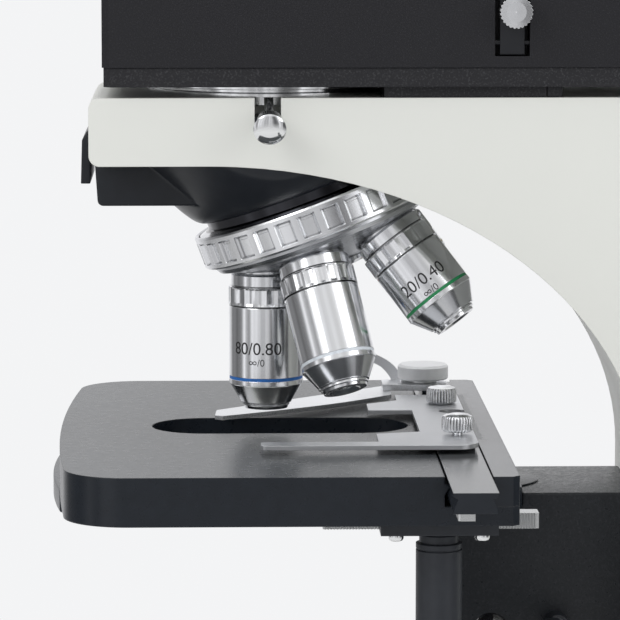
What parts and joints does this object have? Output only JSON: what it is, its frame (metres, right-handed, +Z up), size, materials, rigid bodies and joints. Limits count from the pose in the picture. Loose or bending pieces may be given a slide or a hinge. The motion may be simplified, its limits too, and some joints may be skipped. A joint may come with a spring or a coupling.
{
  "type": "metallurgical microscope",
  "caption": "Upright reflected-light microscope with a revolving nosepiece, a mechanical stage with specimen holder, focusing drives, a lamp house and a swivelling viewing head.",
  "frame": {"origin": "where the optical axis meets the underside of the base", "axes": "+X from the operator towards the column, +Y to the operator's left, +Z up along the optical axis"},
  "size_m": [0.3776, 0.24, 0.4605],
  "materials": {
    "arm_paint": "off-white paint on cast metal",
    "base_paint": "off-white paint",
    "black_plate": "black paint",
    "foot_rubber": "matt",
    "black_paint": "fine-textured black paint on cast metal",
    "stage_black": "smooth black anodised",
    "bar_black": "black oxide",
    "knob_black": "black anodised",
    "lever_black": "black oxide",
    "satin_steel": "satin",
    "satin_chrome": "satin chrome",
    "bright_chrome": "mirror",
    "optical_glass": "polished and coated",
    "black_plastic": "matt moulded",
    "ball_black": "polished ball on a steel stem"
  },
  "bodies": {
    "stand": {"base_casting": "base_paint", "base_plate": "black_plate", "rubber_feet": "foot_rubber", "arm_casting": "arm_paint", "nose_housing": "black_paint", "front_cover": "black_paint", "nosepiece_ring": "satin_steel", "arm_seat_ring": "bright_chrome", "illuminator_cover": "black_paint", "illuminator_housing": "black_paint", "beam_splitter": "optical_glass", "collector_lens": "optical_glass", "lamp_house": "black_paint", "lamp_bulb": "optical_glass", "head_seat_ring": "bright_chrome", "mains_inlet": "black_plastic"},
    "arm_screw": {"arm_clamp_screw": "bright_chrome"},
    "selector": {"selector_lever": "lever_black", "selector_knob": "satin_steel"},
    "head_screw": {"head_clamp_screw": "bright_chrome"},
    "switch": {"power_switch": "black_plastic"},
    "dial": {"brightness_dial": "black_plastic"},
    "tension": {"tension_ring": "knob_black"},
    "coarse_drive": {"coarse_knobs": "knob_black", "focus_pinion": "satin_steel"},
    "fine_drive": {"fine_knobs": "knob_black"},
    "turret": {"turret_plate": "satin_steel", "grip_ring": "satin_chrome", "objective_80x": "satin_chrome", "objective_50x": "satin_chrome", "objective_20x": "satin_chrome", "objective_10x": "satin_chrome", "objective_5x": "satin_chrome", "objective_lenses": "optical_glass"},
    "head": {"head_body": "black_paint", "photo_tube": "black_paint"},
    "camera_rod": {"camera_slider": "satin_steel"},
    "left_eye": {"left_tube": "black_paint", "left_eyepiece": "black_plastic"},
    "right_eye": {"right_tube": "black_paint", "right_eyepiece": "black_plastic"},
    "diopter": {"diopter_ring": "black_plastic"},
    "focus_slide": {"focus_block": "black_paint", "focus_rack": "satin_steel", "stage_lower_plate": "stage_black", "fixed_rack": "satin_steel"},
    "stage_clamp": {"stage_clamp_lever": "ball_black"},
    "stage": {"stage_plate": "stage_black", "scale_block": "stage_black", "drive_bracket": "stage_black"},
    "travel": {"travel_drive": "stage_black"},
    "cross": {"cross_drive": "stage_black"},
    "bar": {"slider_bar": "bar_black", "bar_rack": "satin_steel", "holder_plate": "satin_steel", "pivot_knob": "satin_steel", "finger_spring": "satin_steel"},
    "front_screw": {"holder_screw_front": "bright_chrome"},
    "rear_screw": {"holder_screw_rear": "bright_chrome"},
    "finger": {"finger_lever": "satin_steel"}
  },
  "joints": [
    {"name": "focus", "type": "slide", "parent": "stand", "child": "focus_slide", "axis": [0, 0, 1], "range_m": [-0.028, 0.0012]},
    {"name": "coarse_turn", "type": "hinge", "parent": "stand", "child": "coarse_drive", "pos_m": [0.135, 0, 0.082], "axis": [0, 1, 0], "range_deg": [-270, 15]},
    {"name": "fine_turn", "type": "hinge", "parent": "coarse_drive", "child": "fine_drive", "pos_m": [0.135, 0, 0.082], "axis": [0, 1, 0], "continuous": true},
    {"name": "tension_turn", "type": "hinge", "parent": "stand", "child": "tension", "pos_m": [0.135, 0.042, 0.082], "axis": [0, 1, 0], "range_deg": [0, 60]},
    {"name": "arm_screw_turn", "type": "hinge", "parent": "stand", "child": "arm_screw", "pos_m": [0.0004, -0.0484, 0.2878], "axis": [0, -0.9397, -0.342], "range_deg": [0, 270]},
    {"name": "head_screw_turn", "type": "hinge", "parent": "stand", "child": "head_screw", "pos_m": [0, -0.04, 0.3631], "axis": [0, -1, 0], "range_deg": [0, 270]},
    {"name": "turret_turn", "type": "hinge", "parent": "stand", "child": "turret", "pos_m": [0, 0, 0.2992], "axis": [0.3535, 0, -0.9354], "continuous": true},
    {"name": "head_turn", "type": "hinge", "parent": "stand", "child": "head", "pos_m": [0, 0, 0.3615], "axis": [0, 0, 1], "continuous": true},
    {"name": "eye_spread", "type": "hinge", "parent": "head", "child": "left_eye", "pos_m": [-0.03129, 0, 0.40465], "axis": [-0.866, 0, 0.5], "range_deg": [-30, 14]},
    {"name": "right_eye_turn", "type": "hinge", "parent": "head", "child": "right_eye", "pos_m": [-0.03129, 0, 0.40465], "axis": [-0.866, 0, 0.5], "range_deg": [-14, 30]},
    {"name": "diopter_turn", "type": "hinge", "parent": "left_eye", "child": "diopter", "pos_m": [-0.04066, 0.03248, 0.38841], "axis": [-0.866, 0, 0.5], "range_deg": [-90, 90]},
    {"name": "camera_pull", "type": "slide", "parent": "head", "child": "camera_rod", "axis": [0, -1, 0], "range_m": [0, 0.012]},
    {"name": "selector_tilt", "type": "hinge", "parent": "stand", "child": "selector", "pos_m": [0.0757, -0.043, 0.3112], "axis": [1, 0, 0], "range_deg": [0, 30]},
    {"name": "switch_rock", "type": "hinge", "parent": "stand", "child": "switch", "pos_m": [0.203, -0.04, 0.022], "axis": [0, -1, 0], "range_deg": [0, 10]},
    {"name": "dial_turn", "type": "hinge", "parent": "stand", "child": "dial", "pos_m": [-0.058, -0.0883, 0.016], "axis": [0, -1, 0], "range_deg": [0, 270]},
    {"name": "stage_clamp_turn", "type": "hinge", "parent": "focus_slide", "child": "stage_clamp", "pos_m": [0.092, -0.027, 0.125], "axis": [0, 1, 0], "range_deg": [0, 40]},
    {"name": "stage_x", "type": "slide", "parent": "focus_slide", "child": "stage", "axis": [1, 0, 0], "range_m": [-0.029, 0.02]},
    {"name": "travel_turn", "type": "hinge", "parent": "stage", "child": "travel", "pos_m": [0.0511, -0.085, 0.12], "axis": [0, 0, 1], "range_deg": [-285, 200]},
    {"name": "bar_y", "type": "slide", "parent": "stage", "child": "bar", "axis": [0, 1, 0], "range_m": [-0.029, 0.046]},
    {"name": "cross_turn", "type": "hinge", "parent": "stage", "child": "cross", "pos_m": [0.0511, -0.085, 0.1], "axis": [0, 0, 1], "range_deg": [-570, 900]},
    {"name": "front_screw_turn", "type": "hinge", "parent": "bar", "child": "front_screw", "pos_m": [0.0595, -0.04, 0.19], "axis": [0, 0, 1], "range_deg": [0, 180]},
    {"name": "rear_screw_turn", "type": "hinge", "parent": "bar", "child": "rear_screw", "pos_m": [0.0586, 0.028, 0.19], "axis": [0, 0, 1], "range_deg": [0, 180]},
    {"name": "finger_swing", "type": "hinge", "parent": "bar", "child": "finger", "pos_m": [0.0545, 0.065, 0.189], "axis": [0, 0, 1], "range_deg": [-25, 0], "stiffness_Nm_per_rad": 0.12, "springref_deg": 8.59}
  ],
  "couplings": [
    {"joint": "coarse_turn", "follows": "focus", "rad_per_m": 166.67},
    {"joint": "travel_turn", "follows": "stage_x", "rad_per_m": 166.67},
    {"joint": "cross_turn", "follows": "bar_y", "rad_per_m": 333.33},
    {"joint": "right_eye_turn", "follows": "eye_spread", "ratio": -1}
  ]
}
